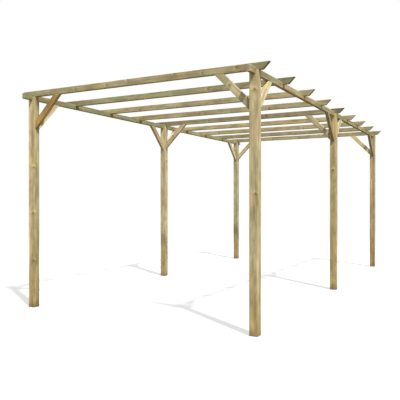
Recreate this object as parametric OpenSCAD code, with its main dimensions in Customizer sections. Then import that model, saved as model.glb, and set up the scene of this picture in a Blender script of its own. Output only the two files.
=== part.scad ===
// Free-standing timber pergola: six square posts, two long rails let into
// their tops, nine rafters notched over the rails, and fourteen knee braces.
// X runs across, Y runs from front to back and Z points up. The origin is on
// the ground, at the middle of the plan.

/* [Overall] */
// Distance across, between the centres of the left and right posts
post_spacing_across = 2440; // [1600:10:3000]
// Distance along a side, between the centres of neighbouring posts
post_spacing_along = 2500; // [1600:10:3000]
// Height from the ground to the underside of the long rails
rail_underside = 2110; // [1700:10:2600]

/* [Posts] */
// Side of the square post
post_w = 75; // [65:1:120]

/* [Rails] */
// Thickness of a rail, measured across the pergola
rail_t = 35; // [25:1:45]
// Depth of a rail, from its underside to its top
rail_depth = 55; // [45:1:90]
// How far a rail runs past the centre of the front or back post
rail_overhang = 140; // [100:5:400]
// Length of the half lap that joins two rail lengths over the middle post
rail_lap = 75; // [40:1:120]

/* [Rafters] */
// Thickness of a rafter, measured along the pergola
rafter_t = 35; // [25:1:45]
// Depth of a rafter, from its underside to its top
rafter_depth = 60; // [45:1:90]
// How far a rafter runs past the centre of a post
rafter_overhang = 130; // [100:5:400]
// Depth of the notch where a rafter drops over a rail
notch_depth = 20; // [8:1:25]
// Number of rafter spaces in one bay between posts
spaces_per_bay = 4; // [2:1:6]

/* [Braces] */
// Thickness of a knee brace
brace_t = 35; // [25:1:45]
// Width of the face of a knee brace
brace_depth = 60; // [35:1:80]
// Leg of the braces that run across, from the post along the rafter
cross_brace_leg = 325; // [220:5:450]
// Leg of the braces that run along the sides, from the post along the rail
side_brace_leg = 310; // [220:5:450]

/* [Fit] */
// Clearance on each side of a timber that sits in a slot or a notch
fit_gap = 0.5; // [0.2:0.1:1]

/* [Hidden] */
sides = ["left", "right"];
rows = ["front", "middle", "back"];
halves = ["front", "back"];

// Levels, worked up from the ground
rail_top = rail_underside + rail_depth;
rafter_underside = rail_top - notch_depth;
slot_depth = rafter_underside - rail_underside;
rail_slot_w = rail_t + 2 * fit_gap;

// Places in plan
rafter_count = 2 * spaces_per_bay + 1;
rafter_pitch = post_spacing_along / spaces_per_bay;
rafter_half = post_spacing_across / 2 + rafter_overhang;
rail_end = post_spacing_along + rail_overhang;

// Extra length that carries a cutting block clear of the faces it cuts
past = 1;

function side_x(side) = (side == "left" ? -1 : 1) * post_spacing_across / 2;
function row_y(row) = (search([row], rows)[0] - 1) * post_spacing_along;

// A post with a slot in its top. The rail lies in the slot, and the cheeks
// on both sides of it rise to the underside of the rafter.
module post() {
    color([0.72, 0.65, 0.47])
    difference() {
        translate([-post_w / 2, -post_w / 2, 0])
            cube([post_w, post_w, rafter_underside]);
        translate([-rail_slot_w / 2, -post_w / 2 - past, rail_underside])
            cube([rail_slot_w, post_w + 2 * past, slot_depth + past]);
    }
}

// Outline of the front length of a rail, seen from the side: a tail cut
// square in front, and the lower half of the lap behind.
module front_rail_outline() {
    lap_start = -rail_lap / 2;
    lap_end = rail_lap / 2 - fit_gap;
    polygon([
        [-rail_end, 0],
        [lap_end, 0],
        [lap_end, rail_depth / 2],
        [lap_start, rail_depth / 2],
        [lap_start, rail_depth],
        [-rail_end, rail_depth]
    ]);
}

// Outline of the back length, with the upper half of the lap in front
module back_rail_outline() {
    lap_start = -rail_lap / 2 + fit_gap;
    lap_end = rail_lap / 2;
    polygon([
        [lap_end, 0],
        [rail_end, 0],
        [rail_end, rail_depth],
        [lap_start, rail_depth],
        [lap_start, rail_depth / 2],
        [lap_end, rail_depth / 2]
    ]);
}

// One length of rail. The outline's first axis is turned to run along Y.
module rail(half) {
    color([0.66, 0.62, 0.42])
    translate([-rail_t / 2, 0, rail_underside])
        rotate([90, 0, 90])
            linear_extrude(rail_t) {
                if (half == "front") front_rail_outline();
                if (half == "back") back_rail_outline();
            }
}

// A rafter with both tails cut at 45 degrees, notched over the two rails
module rafter() {
    color([0.63, 0.58, 0.42])
    translate([0, rafter_t / 2, rafter_underside])
        rotate([90, 0, 0])
            linear_extrude(rafter_t)
                difference() {
                    polygon([
                        [-rafter_half + rafter_depth, 0],
                        [rafter_half - rafter_depth, 0],
                        [rafter_half, rafter_depth],
                        [-rafter_half, rafter_depth]
                    ]);
                    for (side = sides)
                        translate([side_x(side) - rail_slot_w / 2, -past])
                            square([rail_slot_w, notch_depth + past]);
                }
}

// A 45 degree knee brace in the XZ plane. Its foot stands on the plane X = 0
// and its head ends on the plane Z = 0; leg is the length that it takes on
// both planes, measured to its lower edge.
module brace(leg) {
    cut = brace_depth * sqrt(2);
    color([0.80, 0.75, 0.58])
    translate([0, brace_t / 2, 0])
        rotate([90, 0, 0])
            linear_extrude(brace_t)
                polygon([
                    [0, -leg],
                    [leg, 0],
                    [leg - cut, 0],
                    [0, -leg + cut]
                ]);
}

// A brace from the inner face of a post up to the rafter over it
module cross_brace(row, side) {
    inward = side == "left" ? 0 : 180;
    face_x = side_x(side) - sign(side_x(side)) * post_w / 2;
    translate([face_x, row_y(row), rafter_underside])
        rotate([0, 0, inward])
            brace(cross_brace_leg);
}

// A brace in one bay, from a post's face up to the rail. It belongs to the
// post at the front or at the back end of that bay.
module side_brace(side, bay, end) {
    bay_start = bay == "front" ? -post_spacing_along : 0;
    face_y = end == "front"
        ? bay_start + post_w / 2
        : bay_start + post_spacing_along - post_w / 2;
    towards = end == "front" ? 90 : -90;
    translate([side_x(side), face_y, rail_underside])
        rotate([0, 0, towards])
            brace(side_brace_leg);
}

for (row = rows, side = sides)
    translate([side_x(side), row_y(row), 0]) post();

for (side = sides, half = halves)
    translate([side_x(side), 0, 0]) rail(half);

for (i = [1 : rafter_count])
    translate([0, -post_spacing_along + (i - 1) * rafter_pitch, 0]) rafter();

for (row = rows, side = sides)
    cross_brace(row, side);

for (side = sides, bay = halves, end = halves)
    side_brace(side, bay, end);
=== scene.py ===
# A free-standing garden pergola of planed, pressure-treated softwood: six square
# posts, a long rail let into their tops on each side, nine rafters notched over
# the rails and fourteen knee braces. Metres, Z up, and its front towards -Y.
import math
import random

import bmesh
import bpy
from mathutils import Matrix, Vector, noise


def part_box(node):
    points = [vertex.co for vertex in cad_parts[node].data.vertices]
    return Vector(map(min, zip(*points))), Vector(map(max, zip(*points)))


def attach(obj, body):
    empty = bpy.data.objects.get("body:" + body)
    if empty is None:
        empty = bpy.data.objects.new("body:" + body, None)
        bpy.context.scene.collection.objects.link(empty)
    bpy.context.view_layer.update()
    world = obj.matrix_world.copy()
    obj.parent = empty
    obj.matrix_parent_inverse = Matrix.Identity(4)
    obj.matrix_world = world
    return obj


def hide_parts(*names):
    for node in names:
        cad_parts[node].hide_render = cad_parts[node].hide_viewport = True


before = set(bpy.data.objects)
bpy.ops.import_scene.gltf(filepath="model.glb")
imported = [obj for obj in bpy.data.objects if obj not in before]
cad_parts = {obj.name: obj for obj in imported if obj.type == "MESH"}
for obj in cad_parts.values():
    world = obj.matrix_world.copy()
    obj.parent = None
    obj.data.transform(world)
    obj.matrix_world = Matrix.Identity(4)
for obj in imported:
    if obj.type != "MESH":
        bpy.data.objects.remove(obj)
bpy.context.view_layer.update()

# ----------------------------------------------------------
# Posts. Planed 75 mm squares cut from small logs, so the heart of the tree runs
# up inside most of them. They stand on the ground, have long drying splits, and
# a slot is sawn down into each top for the rail.

ROWS = ("front", "middle", "back")
SIDES = ("left", "right")
X_AXIS = Vector((1, 0, 0))
Y_AXIS = Vector((0, 1, 0))
Z_AXIS = Vector((0, 0, 1))

ARRIS = 0.0032          # radius that the planer leaves along each edge
ARRIS_STEPS = 3         # flats that make up one rounded edge
ARRIS_WEAR = 0.35       # how much that radius varies along the edge
END_EASE = 0.0010       # sawn ends have their sharp rim knocked off
COLUMN_STEP = 0.0075    # distance between mesh columns across a face
STATION_STEP = 0.026    # distance between mesh stations along a timber
FINE_STEP = 0.0045      # the same beside a knot or at the end of a split
SHARP_EDGE = math.radians(38)
END_FACING = 0.6        # least share of a normal along the timber on end grain

SHRINK = 0.0002         # how far every planed face lies inside its nominal size
LEAST_SHRINK = 0.00002  # the same on top of a knot
RIPPLE = 0.0004         # height of the long waves that drying leaves on a face
RIPPLE_ALONG = 2.4      # how many of them a metre holds along the timber
RIPPLE_ACROSS = 14      # and across it
SOAK_REACH = 0.16       # how far extra preservative soaks in from an end

SHADE_LEAN = 0.06       # most that a timber's lightness changes from side to side
GREEN_LEAN = 0.3        # the same of its greenness

KNOT_RISE = 0.0005      # dry wood shrinks back from its harder knots
KNOT_SWELL = 4.0        # how many of its radii away a knot lifts or dips the face
KNOT_FINE = 2.2         # how many of its radii away the mesh is fine
KNOT_NEAR = 0.12        # a knot further away than this doesn't bend the grain
KNOT_BEHIND = 0.1       # added to that distance on the far side of the heart
KNOT_MARGIN = 0.03      # no whorl of knots nearer than this to the far end
KNOT_STAGGER = 0.012    # how far the knots of one whorl lie apart along the timber
KNOT_GLANCE = 0.2       # a branch that meets a face flatter than this is skipped
NO_KNOT = (-100.0, 0.0, 0.01)

SPLIT_DEPTH = (0.004, 0.009)    # least and most, as in the next one
SPLIT_GAP = (0.0008, 0.0018)
SPLIT_CLOSED = 0.00015  # half its width where it is closed
SPLIT_DRIFT = 0.0018    # how far it wanders sideways over half its length
SPLIT_END = 0.010       # length of fine mesh at each of its ends
SPLIT_CLEAR = 0.0035    # distance that plain columns keep from it
SPLIT_SPACING = 0.4     # least distance between two splits, over half a face
SPLIT_TRIES = 20
SPLIT_REACH = 0.003     # painted shade lies no further than this from its middle line
SPLIT_LIP = 0.0012      # depths at which its painted shade starts and ends
SPLIT_FLOOR = 0.012

SCREW_SINK = 0.0007     # how far a screw is driven below the nominal face
POCKET_RADIUS = 0.0049  # a screw's countersunk pocket
POCKET_DEPTH = 0.0022
POCKET_SIDES = 14
WELD = 0.000002         # corners nearer than this are made one after sawing

# Each side of a section: its outward direction, and the direction in which the
# outline runs along it, both as (across, up).
FACES = (
    ((1, 0), (0, 1)),
    ((0, 1), (-1, 0)),
    ((-1, 0), (0, -1)),
    ((0, -1), (1, 0)),
)
WIDE_FACES = (0, 2)     # the two broad sides of a board on edge


def dot(first, second):
    return first[0] * second[0] + first[1] * second[1]


class Timber:
    """One length of timber: its place, its section, its ends and its growth.

    along, across and up are its own axes, and start is the middle of the
    section where along is measured from. Its ends are planes: the one at the
    start lies at first[0] + first[1] * height, and the other at last[0] +
    last[1] * height, where height is measured along up from the middle.
    """

    def __init__(self, node, start, along, up, wide, deep, first, last, tone):
        self.node = node
        self.start = start
        self.along = along.normalized()
        self.up = up.normalized()
        self.across = self.up.cross(self.along).normalized()
        self.half = (wide / 2, deep / 2)
        self.first = first
        self.last = last
        self.tone = tone        # lightness, greenness and warmth
        self.draw = random.Random(node)
        self.offset = self.draw.uniform(0, 40)
        # How the lightness and the greenness change towards across and up
        self.shade_lean = [self.draw.uniform(-SHADE_LEAN, SHADE_LEAN) for _ in range(2)]
        self.green_lean = [self.draw.uniform(-GREEN_LEAN, GREEN_LEAN) for _ in range(2)]
        self.soaked = 0.0       # how much darker and greener the ends are
        self.pith = (0.0, 0.0)
        self.knots = []
        self.splits = []

    def length(self):
        return self.last[0] - self.first[0]

    def face_half(self, face):
        """Half the width of a face, and its distance from the middle."""
        across, _ = FACES[face][0]
        return self.half[::-1] if across else self.half

    def grow_heart(self, near, far):
        """Puts the heart of the tree at a random distance from the middle."""
        turn = self.draw.uniform(0, 2 * math.pi)
        reach = self.draw.uniform(near, far)
        self.pith = (reach * math.cos(turn), reach * math.sin(turn))

    def grow_heart_beside(self, reach):
        """Puts the heart of the tree beyond one wide face, as in a flat board."""
        side = self.draw.choice((-1, 1))
        shift = self.draw.uniform(-0.4, 0.4) * self.half[1]
        self.pith = (side * reach, shift)

    def grow_knots(self, spacing, small, large, most):
        """Whorls of knots along the length, each with one knot or more."""
        place = self.draw.uniform(0.15, 0.8) * spacing
        while place < self.length() - KNOT_MARGIN:
            turn = self.draw.uniform(0, 2 * math.pi)
            count = self.draw.randint(1, most)
            for k in range(count):
                angle = self.aim(turn + 2 * math.pi * k / count)
                shift = self.draw.uniform(-KNOT_STAGGER, KNOT_STAGGER)
                radius = self.draw.uniform(small, large)
                self.knots.append((place + shift, angle, radius))
            place += spacing * self.draw.uniform(0.6, 1.4)

    def aim(self, turn):
        """Turns a branch so that it crosses the timber and doesn't miss it."""
        reach = math.hypot(*self.pith)
        if reach < min(self.half):
            return turn
        middle = math.atan2(-self.pith[1], -self.pith[0])
        spread = math.atan2(0.8 * self.half[1], reach)
        return middle + spread * math.sin(turn)

    def add_knot(self, place, face, position, radius):
        """A knot at a chosen place on a face, position running from -1 to 1."""
        outward, runs = FACES[face]
        face_half, distance = self.face_half(face)
        spot = [outward[i] * distance + runs[i] * position * face_half for i in (0, 1)]
        angle = math.atan2(spot[1] - self.pith[1], spot[0] - self.pith[0])
        self.knots.append((place, angle, radius))

    def add_split(self, face, position, runs, gap):
        """A drying split along one line of a face, position running from -1 to 1.

        runs holds the (middle, half length) of each stretch where it is open.
        """
        self.splits.append({
            "face": face,
            "position": position,
            "runs": runs,
            "gap": gap,
            "depth": self.draw.uniform(*SPLIT_DEPTH),
            "drift": self.draw.uniform(-SPLIT_DRIFT, SPLIT_DRIFT),
        })

    def clear_place(self, faces, spread):
        """A random (face, position) that keeps clear of the splits already made."""
        for _ in range(SPLIT_TRIES):
            face = self.draw.choice(faces)
            position = self.draw.uniform(-spread, spread)
            if all(abs(position - s["position"]) > SPLIT_SPACING
                   for s in self.splits if s["face"] == face):
                break
        return face, position

    def add_splits(self, count, shortest, longest):
        """Drying splits that follow the grain within the length."""
        for _ in range(count):
            face, position = self.clear_place(range(4), 0.5)
            middle = self.draw.uniform(0.12, 0.88) * self.length()
            half_run = self.draw.uniform(shortest, longest) / 2
            gap = self.draw.uniform(*SPLIT_GAP)
            self.add_split(face, position, [(middle, half_run)], gap)

    def add_end_split(self, shortest, longest):
        """A split that opens at one end, where timber dries first."""
        face, position = self.clear_place(WIDE_FACES, 0.45)
        middle = self.draw.choice((0.0, self.length()))
        half_run = self.draw.uniform(shortest, longest)
        gap = self.draw.uniform(*SPLIT_GAP)
        self.add_split(face, position, [(middle, half_run)], gap)

    def knot_on_face(self, knot, face):
        """Where a knot comes out on a face, or None."""
        outward, runs = FACES[face]
        face_half, distance = self.face_half(face)
        aim = (math.cos(knot[1]), math.sin(knot[1]))
        facing = dot(aim, outward)
        if abs(facing) < KNOT_GLANCE:
            return None
        reach = (distance - dot(self.pith, outward)) / facing
        if reach < 0:
            return None
        spot = [self.pith[i] + aim[i] * reach for i in (0, 1)]
        position = dot(spot, runs)
        if abs(position) > face_half:
            return None
        return position

    def columns(self):
        """The outline of the section, as (face, kind, value) for each column."""
        made = []
        for face in range(4):
            face_half, _ = self.face_half(face)
            flat = face_half - ARRIS
            marks = [s for s in self.splits if s["face"] == face]
            count = max(2, round(2 * flat / COLUMN_STEP))
            row = []
            for i in range(1, count):
                position = -flat + 2 * flat * i / count
                if all(abs(position - s["position"] * flat) > SPLIT_CLEAR for s in marks):
                    row.append((position, "flat", position))
            for s in marks:
                for side in (-1, 0, 1):
                    order = s["position"] * flat + side * SPLIT_CLOSED
                    row.append((order, "split", (s, side)))
            row.sort(key=lambda item: item[0])
            made += [(face, kind, value) for _, kind, value in row]
            made += [(face, "arris", i / ARRIS_STEPS) for i in range(ARRIS_STEPS + 1)]
        return made

    def stations(self):
        """Distances along the timber at which its outline is set out."""
        length = self.length()
        fine = [(k[0], KNOT_FINE * k[2]) for k in self.knots]
        for s in self.splits:
            for middle, half_run in s["runs"]:
                fine.append((middle - half_run, SPLIT_END))
                fine.append((middle + half_run, SPLIT_END))
        place = END_EASE
        made = [0.0]
        while place < length - END_EASE:
            made.append(place)
            near = any(abs(place - middle) < reach for middle, reach in fine)
            step = FINE_STEP if near else STATION_STEP
            for middle, reach in fine:
                if not near and place < middle - reach < place + step:
                    step = max(FINE_STEP, middle - reach - place)
            place += step
        if length - END_EASE - made[-1] < FINE_STEP / 2:
            made.pop()
        return made + [length - END_EASE, length]

    def sink(self, face, position, place):
        """How far the surface lies inside the nominal face at one spot."""
        wave = noise.noise(Vector((
            place * RIPPLE_ALONG + self.offset, position * RIPPLE_ACROSS, face * 7.3)))
        depth = SHRINK + RIPPLE * (0.5 + 0.5 * wave)
        for knot in self.knots:
            if abs(place - knot[0]) > KNOT_SWELL * knot[2]:
                continue
            spot = self.knot_on_face(knot, face)
            if spot is None:
                continue
            away = math.hypot(place - knot[0], position - spot) / knot[2]
            depth -= KNOT_RISE * math.exp(-away ** 2)
            # A shallow moat around it
            depth += 0.6 * KNOT_RISE * math.exp(-((away - 1.5) / 0.4) ** 2)
        return max(depth, LEAST_SHRINK)

    def spot(self, column, place):
        """Where a column of the outline lies at one station, as [across, up]."""
        face, kind, value = column
        outward, runs = FACES[face]
        face_half, distance = self.face_half(face)
        if kind == "arris":
            wear = noise.noise(Vector((place * 5 + self.offset, face * 3.1, 0.5)))
            radius = ARRIS * (1 + ARRIS_WEAR * wear)
            turn = value * math.pi / 2
            out = distance - radius + radius * math.cos(turn) - SHRINK
            run = face_half - radius + radius * math.sin(turn) - SHRINK
        elif kind == "flat":
            run = value
            out = distance - self.sink(face, run, place)
        else:
            split, side = value
            run = split["position"] * (face_half - ARRIS)
            offs = [(place - middle) / half_run for middle, half_run in split["runs"]]
            open_part = math.sqrt(max(0.0, 1 - min(off ** 2 for off in offs)))
            run += split["drift"] * max(-1.0, min(1.0, offs[0]))
            run += side * max(SPLIT_CLOSED, split["gap"] * open_part / 2)
            out = distance - self.sink(face, run, place)
            if side == 0:
                out -= split["depth"] * open_part
        return [outward[i] * out + runs[i] * run for i in (0, 1)]

    def point(self, spot, place):
        """The place in the pergola of a spot in the section."""
        start = self.first[0] + self.first[1] * spot[1]
        end = self.last[0] + self.last[1] * spot[1]
        reach = start + (end - start) * place / self.length()
        return self.start + self.along * reach + self.across * spot[0] + self.up * spot[1]

    def grain(self, point):
        """A place in the pergola, as (along, across, up) from the tree's heart."""
        away = point - self.start
        return Vector((
            away.dot(self.along),
            away.dot(self.across) - self.pith[0],
            away.dot(self.up) - self.pith[1],
        ))

    def tone_at(self, point):
        """The timber's (lightness, greenness, warmth) at a place in the pergola."""
        away = point - self.start
        off = (away.dot(self.across) / self.half[0], away.dot(self.up) / self.half[1])
        shade = 1 + sum(self.shade_lean[i] * off[i] for i in (0, 1))
        green = sum(self.green_lean[i] * off[i] for i in (0, 1))
        reach = away.dot(self.along) - self.first[0]
        from_end = max(0.0, min(reach, self.length() - reach))
        soaked = self.soaked * math.exp(-(from_end / SOAK_REACH) ** 2)
        shade *= 1 - soaked
        green += 2 * soaked
        return Vector((self.tone[0] * shade, max(0.0, self.tone[1] + green), self.tone[2]))

    def in_split(self, grain):
        """1 at the bottom of a drying split, and 0 everywhere else."""
        spot = (grain.y + self.pith[0], grain.z + self.pith[1])
        for split in self.splits:
            outward, runs = FACES[split["face"]]
            face_half, distance = self.face_half(split["face"])
            run = dot(spot, runs)
            sunk = distance - dot(spot, outward)
            beside = abs(run - split["position"] * (face_half - ARRIS))
            place = grain.x - self.first[0]
            within = any(abs(place - middle) < half for middle, half in split["runs"])
            if within and beside < SPLIT_REACH and SPLIT_LIP < sunk < SPLIT_FLOOR:
                return 1.0
        return 0.0

    def nearest_knot(self, grain):
        """The knot that shapes the grain at a place, as (along, angle, radius)."""
        best = NO_KNOT
        best_gap = KNOT_NEAR
        for place, angle, radius in self.knots:
            out = grain.y * math.cos(angle) + grain.z * math.sin(angle)
            off = grain.z * math.cos(angle) - grain.y * math.sin(angle)
            gap = math.hypot(grain.x - place, off) + (0 if out > 0 else KNOT_BEHIND)
            if gap < best_gap:
                best_gap = gap
                best = (place, angle, radius)
        return best


def add_object(name, data):
    made = bpy.data.objects.new(name, data)
    bpy.context.scene.collection.objects.link(made)
    return made


def sawn_mesh(timber):
    """The timber with eased edges, rippled faces, knots and splits."""
    build = bmesh.new()
    columns = timber.columns()
    rings = []
    for place in timber.stations():
        at_end = place in (0.0, timber.length())
        inset = 1 - END_EASE / max(timber.half) if at_end else 1.0
        ring = []
        for column in columns:
            spot = [value * inset for value in timber.spot(column, place)]
            ring.append(build.verts.new(timber.point(spot, place)))
        rings.append(ring)
    count = len(columns)
    for near, far in zip(rings, rings[1:]):
        for i in range(count):
            j = (i + 1) % count
            build.faces.new((near[i], near[j], far[j], far[i]))
    caps = [build.faces.new(rings[0][::-1]), build.faces.new(rings[-1])]
    build.normal_update()
    bmesh.ops.triangulate(build, faces=caps, ngon_method="EAR_CLIP")
    mesh = bpy.data.meshes.new(timber.node)
    build.to_mesh(mesh)
    build.free()
    return mesh


def saw_out(piece, boxes, screws):
    """Saws boxes, each a pair of corners, out of a piece, and sinks its screws.

    A screw is given as (place, facing), and gets a round pocket.
    """
    build = bmesh.new()
    for low, high in boxes:
        made = bmesh.ops.create_cube(build, size=1.0)
        for vert in made["verts"]:
            for i in range(3):
                vert.co[i] = low[i] if vert.co[i] < 0 else high[i]
    for place, facing in screws:
        turn = facing.to_track_quat("Z", "Y").to_matrix().to_4x4()
        bmesh.ops.create_cone(
            build, cap_ends=True, segments=POCKET_SIDES, radius1=POCKET_RADIUS,
            radius2=POCKET_RADIUS, depth=2 * POCKET_DEPTH,
            matrix=Matrix.Translation(place) @ turn)
    mesh = bpy.data.meshes.new("saw")
    build.to_mesh(mesh)
    build.free()
    saw = add_object("saw", mesh)
    cut = piece.modifiers.new("saw", "BOOLEAN")
    cut.operation = "DIFFERENCE"
    cut.solver = "MANIFOLD"
    cut.object = saw
    seen = bpy.context.evaluated_depsgraph_get()
    result = bpy.data.meshes.new_from_object(piece.evaluated_get(seen))
    clean = bmesh.new()
    clean.from_mesh(result)
    bmesh.ops.dissolve_degenerate(clean, dist=WELD, edges=clean.edges)
    clean.to_mesh(result)
    clean.free()
    piece.modifiers.remove(cut)
    whole = piece.data
    piece.data = result
    bpy.data.meshes.remove(whole)
    bpy.data.objects.remove(saw)
    bpy.data.meshes.remove(mesh)


def mark_grain(piece, timber):
    """Stores what the wood material needs to know at each place."""
    mesh = piece.data
    mesh.attributes.new("grain", "FLOAT_VECTOR", "POINT")
    mesh.attributes.new("tone", "FLOAT_VECTOR", "POINT")
    mesh.attributes.new("split", "FLOAT", "POINT")
    mesh.attributes.new("knot", "FLOAT_VECTOR", "FACE")
    mesh.attributes.new("end", "FLOAT", "FACE")
    grain, tone, split, knot, end = [
        mesh.attributes[name].data for name in ("grain", "tone", "split", "knot", "end")]
    shift = Vector((timber.offset, 0, 0))
    for i, vert in enumerate(mesh.vertices):
        place = timber.grain(vert.co)
        grain[i].vector = place + shift
        split[i].value = timber.in_split(place)
        tone[i].vector = timber.tone_at(vert.co)
    for i, face in enumerate(mesh.polygons):
        place, angle, radius = timber.nearest_knot(timber.grain(face.center))
        knot[i].vector = (place + timber.offset, angle, radius)
        end[i].value = 1.0 if abs(face.normal.dot(timber.along)) > END_FACING else 0.0


screw_places = []       # (place, facing) of every screw, for the Screws section


def place_timber(timber, boxes, screws, material):
    """Makes the finished piece and lets it stand for the CAD timber."""
    piece = add_object("timber_" + timber.node, sawn_mesh(timber))
    saw_out(piece, boxes, screws)
    screw_places.extend(screws)
    mesh = piece.data
    mesh.shade_smooth()
    mesh.set_sharp_from_angle(angle=SHARP_EDGE)
    mark_grain(piece, timber)
    mesh.materials.clear()
    mesh.materials.append(material)
    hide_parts(timber.node)
    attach(piece, "root")


def add(tree, kind, inputs=(), output=0, **settings):
    """Adds a node, sets or links its inputs, and returns one of its outputs."""
    made = tree.nodes.new(kind)
    for name, value in settings.items():
        setattr(made, name, value)
    for name, value in dict(inputs).items():
        if isinstance(value, bpy.types.NodeSocket):
            tree.links.new(value, made.inputs[name])
        else:
            made.inputs[name].default_value = value
    return made.outputs[output] if made.outputs else None


def empty_tree(owner):
    """The nodes of a material or a world, with nothing in them."""
    owner.use_nodes = True
    owner.node_tree.nodes.clear()
    return owner.node_tree


def math_of(tree, operation, *values):
    return add(tree, "ShaderNodeMath", enumerate(values), operation=operation)


def times(tree, first, second):
    return math_of(tree, "MULTIPLY", first, second)


def scaled(tree, value, factor, plus):
    return math_of(tree, "MULTIPLY_ADD", value, factor, plus)


def parts_of(tree, vector):
    return add(tree, "ShaderNodeSeparateXYZ", {0: vector}).node.outputs


def length_of(tree, first, second):
    """The length of a vector of two parts."""
    squares = (times(tree, part, part) for part in (first, second))
    return math_of(tree, "SQRT", math_of(tree, "ADD", *squares))


def ease(tree, value, low, high, bottom=0.0, top=1.0):
    """A smooth step from bottom to top as value goes from low to high."""
    inputs = {0: value, 1: low, 2: high, 3: bottom, 4: top}
    return add(tree, "ShaderNodeMapRange", inputs, interpolation_type="SMOOTHSTEP")


def stretched_noise(tree, grain, scale, detail=2.0, rough=0.5):
    """Noise on the grain, scale giving its cells a metre along, across and up."""
    stretched = add(
        tree, "ShaderNodeVectorMath", {0: grain, 1: scale}, operation="MULTIPLY")
    inputs = {"Vector": stretched, "Scale": 1.0, "Detail": detail, "Roughness": rough}
    return add(tree, "ShaderNodeTexNoise", inputs)


def mixed(tree, factor, first, second):
    """Two colours mixed. A mix node keeps its colours in sockets 6, 7 and 2."""
    inputs = {0: factor, 6: first, 7: second}
    return add(tree, "ShaderNodeMix", inputs, output=2, data_type="RGBA")


# What the four woods below have in common
RING_WIDTH = 0.0042
ROSY = (0.57, 0.39, 0.245, 1)
GOLDEN = (0.52, 0.41, 0.135, 1)
AGED = (0.43, 0.27, 0.066, 1)
YELLOWED = (0.41, 0.29, 0.105, 1)
DAMP = (0.12, 0.09, 0.045, 1)
GRIME = (0.09, 0.075, 0.045, 1)
KNOT_PALE = (0.34, 0.23, 0.10, 1)
KNOT_DARK = (0.24, 0.16, 0.066, 1)
KNOT_RIM = (0.055, 0.038, 0.020, 1)
KNOT_STAIN = (0.30, 0.205, 0.085, 1)
END_RING = (0.13, 0.11, 0.06, 1)
END_CHECK = (0.02, 0.016, 0.012, 1)
# painted shade for the depth of a drying split
SPLIT_SHADE = (0.035, 0.026, 0.016, 1)


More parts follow.
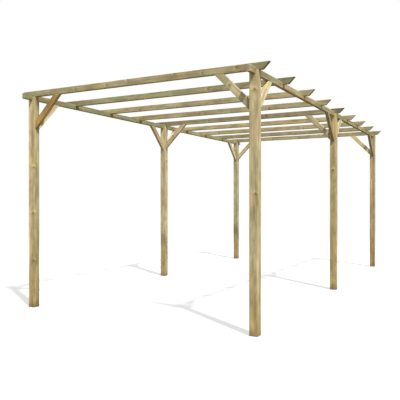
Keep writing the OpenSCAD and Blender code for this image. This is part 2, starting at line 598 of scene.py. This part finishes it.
def treated_softwood(name, early, late, heart, green, sawn, crown):
    """Planed, pressure-treated pine or spruce, grown in rings round its heart.

    early and late are the pale and the dark part of a ring in the sapwood,
    heart the untreated heartwood, green what the preservative leaves and sawn
    what preservative and dirt leave on open end grain, which on the rafters also
    holds painted shade. crown is 1 when the top of the tree lay further along the
    timber, and -1 when not.
    """
    material = bpy.data.materials.new(name)
    tree = empty_tree(material)

    grain, knot, tone = [
        add(tree, "ShaderNodeAttribute", output="Vector", attribute_name=stored)
        for stored in ("grain", "knot", "tone")]
    end, inside = [
        add(tree, "ShaderNodeAttribute", output="Fac", attribute_name=stored)
        for stored in ("end", "split")]
    along, across, up = parts_of(tree, grain)
    knot_place, knot_angle, knot_radius = parts_of(tree, knot)
    lightness, greenness, warmth = parts_of(tree, tone)

    # How far a point lies from the axis of the nearest branch
    cos = math_of(tree, "COSINE", knot_angle)
    sin = math_of(tree, "SINE", knot_angle)
    out = math_of(tree, "ADD", times(tree, across, cos), times(tree, up, sin))
    off = math_of(tree, "SUBTRACT", times(tree, up, cos), times(tree, across, sin))
    past = times(tree, math_of(tree, "SUBTRACT", along, knot_place), 0.85)
    gap = length_of(tree, past, off)
    wobble = stretched_noise(tree, grain, (90, 90, 90))
    gap = times(tree, gap, math_of(tree, "ADD", 0.8, times(tree, wobble, 0.4)))
    gap = math_of(tree, "DIVIDE", gap, knot_radius)
    gap = math_of(tree, "ADD", gap, ease(tree, out, 0.004, -0.006, 0.0, 9.0))

    # Growth rings: distance from the heart, bent by slow waves and by the knots
    bend = times(tree, gap, 0.42)
    bend = times(tree, bend, bend)
    bend = math_of(tree, "EXPONENT", times(tree, bend, -1.0))
    sway_across = stretched_noise(tree, grain, (1.7, 0.0, 0.0), 1.0)
    sway_up = stretched_noise(tree, grain, (1.3, 0.0, 5.0), 1.0)
    side = scaled(tree, sway_across, 0.022, across)
    rise = scaled(tree, sway_up, 0.022, up)
    reach = length_of(tree, side, rise)
    reach = scaled(tree, along, 0.004, reach)
    waver = stretched_noise(tree, grain, (9, 60, 60), 3.0)
    reach = scaled(tree, waver, 0.0035, reach)
    reach = scaled(tree, times(tree, bend, knot_radius), 0.9, reach)
    ring = math_of(tree, "FRACT", math_of(tree, "DIVIDE", reach, RING_WIDTH))
    dark_ring = times(tree, ease(tree, ring, 0.25, 0.86), ease(tree, ring, 0.99, 0.90))

    # Sapwood, heartwood and the green of the preservative
    streak = stretched_noise(tree, grain, (1.6, 75, 75), 3.0, 0.6)
    blotch = stretched_noise(tree, grain, (2.3, 16, 16))
    fibre = stretched_noise(tree, grain, (22, 1300, 1300), 2.0, 0.6)
    colour = mixed(tree, times(tree, dark_ring, 0.62), early, late)
    core = scaled(tree, blotch, 0.016, reach)
    in_heart = times(tree, ease(tree, core, 0.046, 0.030), warmth)
    heart_colour = mixed(tree, times(tree, dark_ring, 0.4), heart, late)
    colour = mixed(tree, in_heart, colour, heart_colour)
    hue = stretched_noise(tree, grain, (1.7, 9, 9))
    rosy = mixed(tree, 0.55, colour, ROSY)
    golden = mixed(tree, 0.55, colour, GOLDEN)
    colour = mixed(tree, ease(tree, hue, 0.55, 0.70, 0.0, 0.8), colour, rosy)
    colour = mixed(tree, ease(tree, hue, 0.46, 0.32, 0.0, 0.9), colour, golden)
    tint = ease(tree, scaled(tree, streak, 0.55, blotch), 0.60, 0.92, 0.12, 1.0)
    tint = times(tree, tint, greenness)
    tint = times(tree, tint, scaled(tree, in_heart, -0.7, 1.0))
    colour = mixed(tree, tint, colour, green)
    cloud = stretched_noise(tree, grain, (7, 24, 24))
    shade = lightness
    for pattern, low, high, dark, pale in (
            (streak, 0.32, 0.68, 0.78, 1.14), (blotch, 0.34, 0.66, 0.84, 1.14),
            (cloud, 0.36, 0.64, 0.84, 1.14), (fibre, 0.3, 0.7, 0.93, 1.05)):
        shade = times(tree, shade, ease(tree, pattern, low, high, dark, pale))
    colour = mixed(tree, ease(tree, warmth, 1.0, 2.0), colour, AGED)

    # Knots: a hard core in a dark rim. The wood above it is pale, and the wood
    # below, which carried the branch, is brown.
    above = math_of(tree, "DIVIDE", times(tree, past, crown), knot_radius)
    above = ease(tree, above, -1.3, 1.3)
    below = math_of(tree, "SUBTRACT", 1.0, above)
    palest = tuple(min(1.0, 1.15 * part) for part in early[:3]) + (1,)
    swirl = times(tree, ease(tree, gap, 4.2, 1.7, 0.0, 0.65), ease(tree, gap, 1.0, 1.6))
    colour = mixed(tree, times(tree, swirl, above), colour, palest)
    stain = times(tree, ease(tree, gap, 5.0, 0.9, 0.0, 0.6), below)
    stain = times(tree, stain, ease(tree, wobble, 0.25, 0.6, 0.5, 1.0))
    colour = mixed(tree, stain, colour, KNOT_STAIN)
    knot_ring = math_of(tree, "FRACT", times(tree, gap, 3.1))
    knot_colour = mixed(tree, knot_ring, KNOT_PALE, KNOT_DARK)
    colour = mixed(tree, ease(tree, gap, 1.04, 0.88, 0.0, 0.8), colour, knot_colour)
    rim = times(tree, ease(tree, gap, 0.80, 0.98), ease(tree, gap, 1.20, 1.02))
    rim_part = scaled(tree, below, 0.6, 0.2)
    colour = mixed(tree, times(tree, rim, rim_part), colour, KNOT_RIM)

    # Open end grain soaks up preservative and dirt, and opens in fine rays. On the rafters
    # its colour also holds painted shade
    turn = math_of(tree, "ARCTAN2", up, across)
    ray = add(
        tree, "ShaderNodeTexVoronoi", {"W": turn, "Scale": 2.2, "Randomness": 1.0},
        voronoi_dimensions="1D", feature="DISTANCE_TO_EDGE")
    ray = times(tree, ray, reach)
    ray = times(tree, ease(tree, ray, 0.00035, 0.0), end)
    soaked = mixed(tree, 0.50, colour, sawn)
    soaked = mixed(tree, times(tree, dark_ring, 0.36), soaked, END_RING)
    colour = mixed(tree, times(tree, end, 0.9), colour, soaked)
    colour = mixed(tree, ray, colour, END_CHECK)

    # Painted shade inside the drying splits, seen only from their own face
    own_face = math_of(tree, "SUBTRACT", 1.0, end)
    split_shade = times(tree, ease(tree, inside, 0.0, 0.4, 0.0, 0.93), own_face)
    colour = mixed(tree, split_shade, colour, SPLIT_SHADE)

    # Grime in small specks, and a yellowed foot, damp just above the ground
    speck = stretched_noise(tree, grain, (210, 420, 420), 2.0, 0.7)
    colour = mixed(tree, ease(tree, speck, 0.66, 0.78, 0.0, 0.35), colour, GRIME)
    height = parts_of(tree, add(tree, "ShaderNodeTexCoord", output="Object"))[2]
    low_down = scaled(tree, hue, -0.5, height)
    low_down = ease(tree, low_down, 0.45, -0.20, 0.0, 0.65)
    colour = mixed(tree, low_down, colour, YELLOWED)
    damp = scaled(tree, blotch, -0.08, height)
    colour = mixed(tree, ease(tree, damp, 0.05, -0.05, 0.0, 0.5), colour, DAMP)
    colour = add(
        tree, "ShaderNodeVectorMath", {0: colour, "Scale": shade}, operation="SCALE")

    # Hard late wood and knots stand proud, and fibres and saw marks roughen it
    relief = times(tree, dark_ring, 0.35)
    relief = scaled(tree, fibre, 0.5, relief)
    relief = scaled(tree, streak, 0.4, relief)
    relief = math_of(tree, "SUBTRACT", relief, rim)
    relief = scaled(tree, ray, -2.0, relief)
    bump = add(
        tree, "ShaderNodeBump", {"Height": relief, "Strength": 0.7, "Distance": 0.0004})
    rough = ease(tree, fibre, 0.2, 0.8, 0.66, 0.84)
    rough = scaled(tree, dark_ring, -0.10, rough)
    surface = add(
        tree, "ShaderNodeBsdfPrincipled",
        {"Base Color": colour, "Roughness": rough, "Normal": bump,
         "Specular IOR Level": 0.32})
    add(tree, "ShaderNodeOutputMaterial", {"Surface": surface})
    return material


post_wood = treated_softwood(
    "post_wood",
    early=(0.655, 0.545, 0.320, 1), late=(0.40, 0.28, 0.140, 1),
    heart=(0.54, 0.405, 0.240, 1), green=(0.43, 0.42, 0.210, 1),
    sawn=(0.46, 0.42, 0.255, 1), crown=1)

POST_SLOT_GAP = 0.0005      # clearance each side of the rail in its slot
POST_HEART = (0.002, 0.022) # least and most distance from the middle to the heart
POST_SCREW = 0.018          # distance of each of its two screws from the middle
SAW_PAST = 0.004            # how far a saw cut runs out of the timber
# Lightness, greenness and warmth of each
post_tone = {
    "post_front_left": (1.06, 0.50, 1.25),
    "post_front_right": (1.01, 0.60, 0.8),
    "post_middle_left": (1.00, 0.60, 0.7),
    "post_middle_right": (0.96, 0.35, 1.35),
    "post_back_left": (0.89, 0.95, 0.5),
    "post_back_right": (0.98, 0.35, 1.35),
}
# How much lighter some get towards the right and towards the back
post_lean = {"post_front_left": (-0.22, -0.05), "post_front_right": (-0.08, 0.0)}
# The heart of one, as (across, up) from its middle
post_heart = {"post_front_left": (0.004, 0.006)}
# The plainest knots in front, as (height, position across the face, radius)
FRONT_OF_POST = 3
post_knots = {
    "post_front_left": [(1.43, 0.80, 0.008), (0.965, 0.75, 0.009), (0.48, 0.80, 0.008)],
    "post_front_right": [(1.985, 0.25, 0.009), (1.15, 0.50, 0.006)],
}
# The plainest split in front, as (position, (middle, half length) of each
# stretch where it is open, width)
post_splits = {
    "post_front_right": [(0.20, [(0.985, 0.090), (0.715, 0.065)], 0.0034)],
}
rail_low, rail_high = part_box("rail_left_front")
half_slot = (rail_high[0] - rail_low[0]) / 2 + POST_SLOT_GAP
for row in ROWS:
    for side in SIDES:
        node = f"post_{row}_{side}"
        low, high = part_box(node)
        post = Timber(
            node, start=Vector(((low[0] + high[0]) / 2, (low[1] + high[1]) / 2, low[2])),
            along=Z_AXIS, up=Y_AXIS, wide=high[0] - low[0], deep=high[1] - low[1],
            first=(0.0, 0.0), last=(high[2] - low[2], 0.0), tone=post_tone[node])
        post.grow_heart(*POST_HEART)
        post.pith = post_heart.get(node, post.pith)
        post.shade_lean = post_lean.get(node, post.shade_lean)
        if node in post_knots:
            for height, position, radius in post_knots[node]:
                post.add_knot(height, FRONT_OF_POST, position, radius)
        else:
            post.grow_knots(0.75, small=0.005, large=0.010, most=2)
        for split in post_splits.get(node, []):
            post.add_split(FRONT_OF_POST, *split)
        post.add_splits(3, shortest=0.12, longest=0.55)
        middle = post.start[0]
        slot = (
            (middle - half_slot, low[1] - SAW_PAST, rail_low[2]),
            (middle + half_slot, high[1] + SAW_PAST, high[2] + SAW_PAST))
        outer, facing = (high[0], X_AXIS) if side == "right" else (low[0], -X_AXIS)
        screws = []
        for shift in (-POST_SCREW, POST_SCREW):
            height = (rail_low[2] + high[2]) / 2 + shift / 4
            screws.append((Vector((outer, post.start[1] + shift, height)), facing))
        place_timber(post, [slot], screws, post_wood)

# ----------------------------------------------------------
# Rails. Flat boards on edge that lie in the post slots, in two lengths a side,
# half lapped and fixed inside the middle post's slot. Their tails run past the
# end posts and are cut off square.

rail_wood = treated_softwood(
    "rail_wood",
    early=(0.49, 0.425, 0.215, 1), late=(0.30, 0.22, 0.100, 1),
    heart=(0.46, 0.345, 0.180, 1), green=(0.31, 0.315, 0.160, 1),
    sawn=(0.90, 0.80, 0.43, 1), crown=1)

BAYS = ("front", "back")
RAIL_HEART = 0.045          # the boards are cut this far from the tree's heart
rail_tone = {
    "rail_left_front": (0.77, 1.0, 0.3),
    "rail_left_back": (0.86, 0.9, 0.5),
    "rail_right_front": (0.80, 0.25, 0.9),
    "rail_right_back": (0.70, 0.3, 1.0),
}
for side in SIDES:
    front_low, front_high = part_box(f"rail_{side}_front")
    back_low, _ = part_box(f"rail_{side}_back")
    lap_height = (front_low[2] + front_high[2]) / 2
    for half in BAYS:
        node = f"rail_{side}_{half}"
        low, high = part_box(node)
        rail = Timber(
            node, start=Vector(((low[0] + high[0]) / 2, low[1], (low[2] + high[2]) / 2)),
            along=Y_AXIS, up=Z_AXIS, wide=high[0] - low[0], deep=high[2] - low[2],
            first=(0.0, 0.0), last=(high[1] - low[1], 0.0), tone=rail_tone[node])
        rail.grow_heart_beside(RAIL_HEART)
        rail.grow_knots(0.70, small=0.004, large=0.008, most=1)
        rail.add_splits(1, shortest=0.10, longest=0.35)
        rail.add_end_split(shortest=0.04, longest=0.12)
        lap_low = [value - SAW_PAST for value in low]
        lap_high = [value + SAW_PAST for value in high]
        if half == "front":
            lap_low[1:] = back_low[1] - POST_SLOT_GAP, lap_height
        else:
            lap_high[1:] = front_high[1] + POST_SLOT_GAP, lap_height
        place_timber(rail, [(lap_low, lap_high)], [], rail_wood)

# ----------------------------------------------------------
# Rafters. Boards on edge across the rails, with a notch sawn over each rail and
# both tails cut back at 45 degrees underneath.

# Its sawn colour is dark partly from preservative on the end grain and partly as painted
# shade on the tails' 45-degree cuts, which face down
rafter_wood = treated_softwood(
    "rafter_wood",
    early=(0.56, 0.455, 0.260, 1), late=(0.34, 0.235, 0.115, 1),
    heart=(0.52, 0.375, 0.215, 1), green=(0.34, 0.335, 0.180, 1),
    sawn=(0.25, 0.22, 0.125, 1), crown=-1)

RAFTER_HEART = 0.038        # as RAIL_HEART
RAFTER_SCREW = 0.009        # distance of each screw from the middle of the rail
rafter_tone = (
    (0.89, 0.60, 0.9), (0.97, 0.90, 0.5), (1.04, 0.55, 0.8),
    (0.97, 0.90, 0.3), (0.74, 0.80, 0.6), (1.04, 0.75, 0.3),
    (0.93, 0.75, 0.6), (0.84, 0.55, 1.0), (0.98, 0.80, 0.4))
# How much preservative darkens the tails of each
rafter_soaked = (0.24, 0.34, 0.0, 0.12, 0.26, 0.0, 0.05, 0.0, 0.1)
# Knots on the front of the first, as (distance along, position across, radius)
FRONT_OF_RAFTER = 2
front_rafter_knots = (
    (0.69, 0.0, 0.006), (1.07, 0.1, 0.006), (1.315, -0.8, 0.007),
    (1.815, -0.8, 0.008), (2.09, 0.0, 0.006), (2.41, -0.3, 0.008))
for i, tone in enumerate(rafter_tone):
    node = f"rafter_{i + 1}"
    low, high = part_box(node)
    deep = high[2] - low[2]
    span = high[0] - low[0]
    rafter = Timber(
        node, start=Vector((low[0], (low[1] + high[1]) / 2, (low[2] + high[2]) / 2)),
        along=X_AXIS, up=Z_AXIS, wide=high[1] - low[1], deep=deep,
        first=(deep / 2, -1.0), last=(span - deep / 2, 1.0), tone=tone)
    rafter.soaked = rafter_soaked[i]
    rafter.grow_heart_beside(RAFTER_HEART)
    if i == 0:
        # Its heart lies behind it, and it is greener towards its lower edge
        rafter.pith = (RAFTER_HEART, -0.006)
        rafter.green_lean = (0.0, -0.5)
        for place, position, radius in front_rafter_knots:
            rafter.add_knot(place, FRONT_OF_RAFTER, position, radius)
    else:
        rafter.grow_knots(0.80, small=0.004, large=0.008, most=1)
    rafter.add_splits(1, shortest=0.10, longest=0.40)
    rafter.add_end_split(shortest=0.05, longest=0.12)
    notches = []
    screws = []
    for side in SIDES:
        rail_low, rail_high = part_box(f"rail_{side}_front")
        middle = (rail_low[0] + rail_high[0]) / 2
        notches.append((
            (middle - half_slot, low[1] - SAW_PAST, low[2] - SAW_PAST),
            (middle + half_slot, high[1] + SAW_PAST, rail_high[2])))
        for shift in (-RAFTER_SCREW, RAFTER_SCREW):
            spot = Vector((middle + shift, rafter.start[1] + shift / 2, high[2]))
            screws.append((spot, Z_AXIS))
    place_timber(rafter, notches, screws, rafter_wood)

# ----------------------------------------------------------
# Knee braces. Short boards on edge with both ends cut at 45 degrees. Six run
# across from the posts up to the rafters, and eight along from the posts up to
# the rails. They stay paler than the long timbers.

brace_wood = treated_softwood(
    "brace_wood",
    early=(0.74, 0.63, 0.395, 1), late=(0.50, 0.36, 0.19, 1),
    heart=(0.66, 0.49, 0.295, 1), green=(0.50, 0.465, 0.25, 1),
    sawn=(0.50, 0.44, 0.27, 1), crown=1)

BRACE_FACE = 0.060          # width of the board that a brace is cut from
BRACE_HEART = 0.030         # as RAIL_HEART
BRACE_SCREWS = (0.045, 0.085)   # their distances from each end of the long edge
SLANT = math.sqrt(0.5)      # cosine of 45 degrees
brace_tone = {
    "cross_brace_front_left": (0.97, 0.2, 1.75),
    "cross_brace_front_right": (1.12, 0.60, 0.1),
    "side_brace_right_front_bay_back": (0.66, 0.3, 1.35),
    "side_brace_right_back_bay_back": (0.70, 0.3, 1.3),
    "side_brace_left_back_bay_back": (0.85, 0.3, 1.0),
    "side_brace_left_front_bay_back": (0.88, 0.3, 1.2),
    "cross_brace_middle_left": (0.93, 0.3, 0.9),
}
PALE_BRACE = (1.0, 0.30, 0.5)   # the tone of the others
# How much preservative darkens the ends of some
brace_soaked = {"cross_brace_front_right": 0.24}


def cut_brace(node, inward):
    """A brace whose lower edge runs inwards and up from the face of its post."""
    low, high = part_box(node)
    run = 0 if inward.x else 1
    foot = Vector(((low[0] + high[0]) / 2, (low[1] + high[1]) / 2, low[2]))
    foot[run] = low[run] if inward[run] > 0 else high[run]
    long_edge = (high[2] - low[2]) / SLANT
    along = (inward + Z_AXIS) * SLANT
    up = (Z_AXIS - inward) * SLANT
    half = BRACE_FACE / 2
    brace = Timber(
        node, start=foot + up * half, along=along, up=up,
        wide=high[1 - run] - low[1 - run], deep=BRACE_FACE,
        first=(half, 1.0), last=(long_edge - half, -1.0),
        tone=brace_tone.get(node, PALE_BRACE))
    brace.soaked = brace_soaked.get(node, 0.0)
    brace.grow_heart_beside(BRACE_HEART)
    brace.grow_knots(0.55, small=0.004, large=0.007, most=1)
    brace.add_end_split(shortest=0.03, longest=0.09)
    screws = []
    for end, inner in ((0.0, 1), (long_edge, -1)):
        for reach in BRACE_SCREWS:
            screws.append((foot + along * (end + reach * inner), -up))
    place_timber(brace, [], screws, brace_wood)


for row in ROWS:
    for side in SIDES:
        inward = X_AXIS if side == "left" else -X_AXIS
        cut_brace(f"cross_brace_{row}_{side}", inward)

for side in SIDES:
    for bay in BAYS:
        for end in BAYS:
            inward = Y_AXIS if end == "front" else -Y_AXIS
            cut_brace(f"side_brace_{side}_{bay}_bay_{end}", inward)

# ----------------------------------------------------------
# Screws. Countersunk wood screws with a star recess, coated a dull tan: two up
# through the lower edge at each end of a brace, two down through each rafter
# into a rail, and two through each post cheek into the rail in its slot.

SCREW_HEAD = 0.0045         # radius of the head
SCREW_SHANK = 0.0022        # radius under the head
SCREW_CONE = 0.0040         # depth of the countersunk cone
SCREW_SIDES = 12
SCREW_RECESS = 0.0016       # depth of the star recess
RECESS_WIDTH = 0.58         # the star's points, as a share of the head
RECESS_NOTCH = 0.30         # how far its other corners are drawn in
RECESS_TAPER = 0.7          # its floor, as a share of its mouth

screw_metal = bpy.data.materials.new("screw_coating")
tree = empty_tree(screw_metal)
place = add(tree, "ShaderNodeTexCoord", output="Object")
cloud = add(
    tree, "ShaderNodeTexNoise", {"Vector": place, "Scale": 900.0, "Detail": 3.0})
coat = mixed(
    tree, ease(tree, cloud, 0.45, 0.7), (0.36, 0.29, 0.17, 1), (0.20, 0.13, 0.075, 1))
coat_rough = ease(tree, cloud, 0.3, 0.7, 0.38, 0.6)
surface = add(
    tree, "ShaderNodeBsdfPrincipled",
    {"Base Color": coat, "Metallic": 0.75, "Roughness": coat_rough})
add(tree, "ShaderNodeOutputMaterial", {"Surface": surface})

# The head: a cone with a flat top, in which a smaller face is sunk as a star
drive = bpy.data.node_groups.new("drive_screws", "GeometryNodeTree")
drive.interface.new_socket("Geometry", in_out="INPUT", socket_type="NodeSocketGeometry")
sizes = {
    "Head Radius": SCREW_HEAD, "Shank Radius": SCREW_SHANK,
    "Sink Depth": SCREW_CONE, "Recess Depth": SCREW_RECESS}
for size_name in sizes:
    drive.interface.new_socket(size_name, in_out="INPUT", socket_type="NodeSocketFloat")
drive.interface.new_socket("Geometry", in_out="OUTPUT", socket_type="NodeSocketGeometry")
group_in = drive.nodes.new("NodeGroupInput")
points, head_radius, shank_radius, sink_depth, recess_depth = group_in.outputs[:5]
cone = add(
    drive, "GeometryNodeMeshCone",
    {"Vertices": SCREW_SIDES, "Radius Top": head_radius,
     "Radius Bottom": shank_radius, "Depth": sink_depth}).node.outputs
rim = add(
    drive, "GeometryNodeExtrudeMesh",
    {"Mesh": cone["Mesh"], "Selection": cone["Top"], "Offset Scale": 0.0}).node.outputs
shrunk = add(
    drive, "GeometryNodeScaleElements",
    {"Geometry": rim["Mesh"], "Selection": rim["Top"], "Scale": RECESS_WIDTH})
odd = math_of(drive, "MODULO", add(drive, "GeometryNodeInputIndex"), 2.0)
corner = add(drive, "GeometryNodeInputPosition")
pulled = add(
    drive, "ShaderNodeVectorMath", {0: corner, 1: (-RECESS_NOTCH, -RECESS_NOTCH, 0)},
    operation="MULTIPLY")
star = add(
    drive, "GeometryNodeSetPosition",
    {"Geometry": shrunk, "Selection": times(drive, odd, rim["Top"]), "Offset": pulled})
pit = add(
    drive, "GeometryNodeExtrudeMesh",
    {"Mesh": star, "Selection": rim["Top"],
     "Offset Scale": times(drive, recess_depth, -1.0)}).node.outputs
floor_of_pit = add(
    drive, "GeometryNodeScaleElements",
    {"Geometry": pit["Mesh"], "Selection": pit["Top"], "Scale": RECESS_TAPER})
sunk = add(drive, "ShaderNodeCombineXYZ", {"Z": times(drive, sink_depth, -1.0)})
head = add(
    drive, "GeometryNodeTransform", {"Geometry": floor_of_pit, "Translation": sunk})

# One head on each point, turned to its axis and spun about it at random
axis = add(
    drive, "GeometryNodeInputNamedAttribute", {"Name": "axis"}, data_type="FLOAT_VECTOR")
aimed = add(drive, "FunctionNodeAlignRotationToVector", {"Vector": axis}, axis="Z")
twist = add(
    drive, "FunctionNodeRandomValue", {"Min": 0.0, "Max": 2 * math.pi, "Seed": 4},
    output=1, data_type="FLOAT")    # its number; output 0 is a vector
spun = add(
    drive, "FunctionNodeAxisAngleToRotation", {"Axis": (0, 0, 1), "Angle": twist})
turned = add(
    drive, "FunctionNodeRotateRotation", {0: aimed, 1: spun}, rotation_space="LOCAL")
screws = add(
    drive, "GeometryNodeInstanceOnPoints",
    {"Points": points, "Instance": head, "Rotation": turned})
screws = add(drive, "GeometryNodeRealizeInstances", {"Geometry": screws})
screws = add(
    drive, "GeometryNodeSetMaterial", {"Geometry": screws, "Material": screw_metal})
group_out = drive.nodes.new("NodeGroupOutput")
drive.links.new(screws, group_out.inputs[0])

dots = bpy.data.meshes.new("screw_places")
dots.from_pydata([spot - facing * SCREW_SINK for spot, facing in screw_places], [], [])
axes = dots.attributes.new("axis", "FLOAT_VECTOR", "POINT")
for i, (_, facing) in enumerate(screw_places):
    axes.data[i].vector = facing
screw_piece = add_object("screws", dots)
driving = screw_piece.modifiers.new("drive", "NODES")
driving.node_group = drive
for item in drive.interface.items_tree:
    if item.in_out == "INPUT" and item.name in sizes:
        driving[item.identifier] = sizes[item.name]
seen = bpy.context.evaluated_depsgraph_get()
screw_mesh = bpy.data.meshes.new_from_object(screw_piece.evaluated_get(seen))
screw_piece.modifiers.remove(driving)
screw_piece.data = screw_mesh
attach(screw_piece, "root")

# ----------------------------------------------------------
# Studio. A pale floor and backdrop, a soft key lamp high on the right and a
# little in front, and the camera at standing height before the right corner.

CAMERA_PLACE = (2.8755, -6.5107, 1.1102)
CAMERA_TURN = 0.4944        # radians from +Y towards -X
CAMERA_PITCH = -0.0030
CAMERA_LENS = 48.04         # millimetres, on a sensor 36 mm wide
camera_data = bpy.data.cameras.new("camera")
camera_data.sensor_width = 36.0
camera_data.lens = CAMERA_LENS
camera = add_object("camera", camera_data)
camera.location = CAMERA_PLACE
camera.rotation_euler = (math.pi / 2 + CAMERA_PITCH, 0.0, CAMERA_TURN)
bpy.context.scene.camera = camera

KEY_FROM = Vector((0.46, -0.30, 0.84))
KEY_STRENGTH = 4.6
KEY_SPREAD = math.radians(2.5)
key_data = bpy.data.lights.new("key", "SUN")
key_data.energy = KEY_STRENGTH
key_data.angle = KEY_SPREAD
key_data.color = (1.0, 0.975, 0.93)
key = add_object("key", key_data)
key.rotation_euler = KEY_FROM.to_track_quat("Z", "Y").to_euler()

SKY_STRENGTH = 0.56
world = bpy.data.worlds.new("studio")
bpy.context.scene.world = world
tree = empty_tree(world)
seen_white = add(tree, "ShaderNodeLightPath", output="Is Camera Ray")
for ray_kind in ("Is Glossy Ray", "Is Transmission Ray"):
    ray = add(tree, "ShaderNodeLightPath", output=ray_kind)
    seen_white = math_of(tree, "MAXIMUM", seen_white, ray)
sky = add(
    tree, "ShaderNodeBackground",
    {"Color": (0.97, 0.985, 1.0, 1), "Strength": SKY_STRENGTH})
white = add(tree, "ShaderNodeBackground", {"Color": (1, 1, 1, 1), "Strength": 1.0})
backdrop = add(tree, "ShaderNodeMixShader", {0: seen_white, 1: sky, 2: white})
add(tree, "ShaderNodeOutputWorld", {"Surface": backdrop})

FLOOR_HALF = 60.0
FLOOR_DROP = 0.0005         # keeps the floor clear of the post feet
floor_mesh = bpy.data.meshes.new("floor")
corners = [
    (x * FLOOR_HALF, y * FLOOR_HALF, -FLOOR_DROP)
    for x, y in ((-1, -1), (1, -1), (1, 1), (-1, 1))]
floor_mesh.from_pydata(corners, [], [(0, 1, 2, 3)])
floor = add_object("floor", floor_mesh)
floor_paint = bpy.data.materials.new("floor_paint")
tree = empty_tree(floor_paint)
in_camera = add(tree, "ShaderNodeLightPath", output="Is Camera Ray")
paint_colour = mixed(tree, in_camera, (0.21, 0.195, 0.155, 1), (0.9, 0.9, 0.9, 1))
paint = add(tree, "ShaderNodeBsdfDiffuse", {"Color": paint_colour})
glow = add(tree, "ShaderNodeEmission", {"Color": (1, 1, 1, 1), "Strength": 1.0})
place = add(tree, "ShaderNodeTexCoord", output="Object")
away = add(tree, "ShaderNodeVectorMath", {0: place}, output="Value", operation="LENGTH")
fade = ease(tree, away, 3.0, 12.0, 0.55, 1.0)
fade = times(tree, fade, in_camera)
surface = add(tree, "ShaderNodeMixShader", {0: fade, 1: paint, 2: glow})
add(tree, "ShaderNodeOutputMaterial", {"Surface": surface})
floor_mesh.materials.append(floor_paint)

bpy.context.scene.view_settings.view_transform = "Standard"
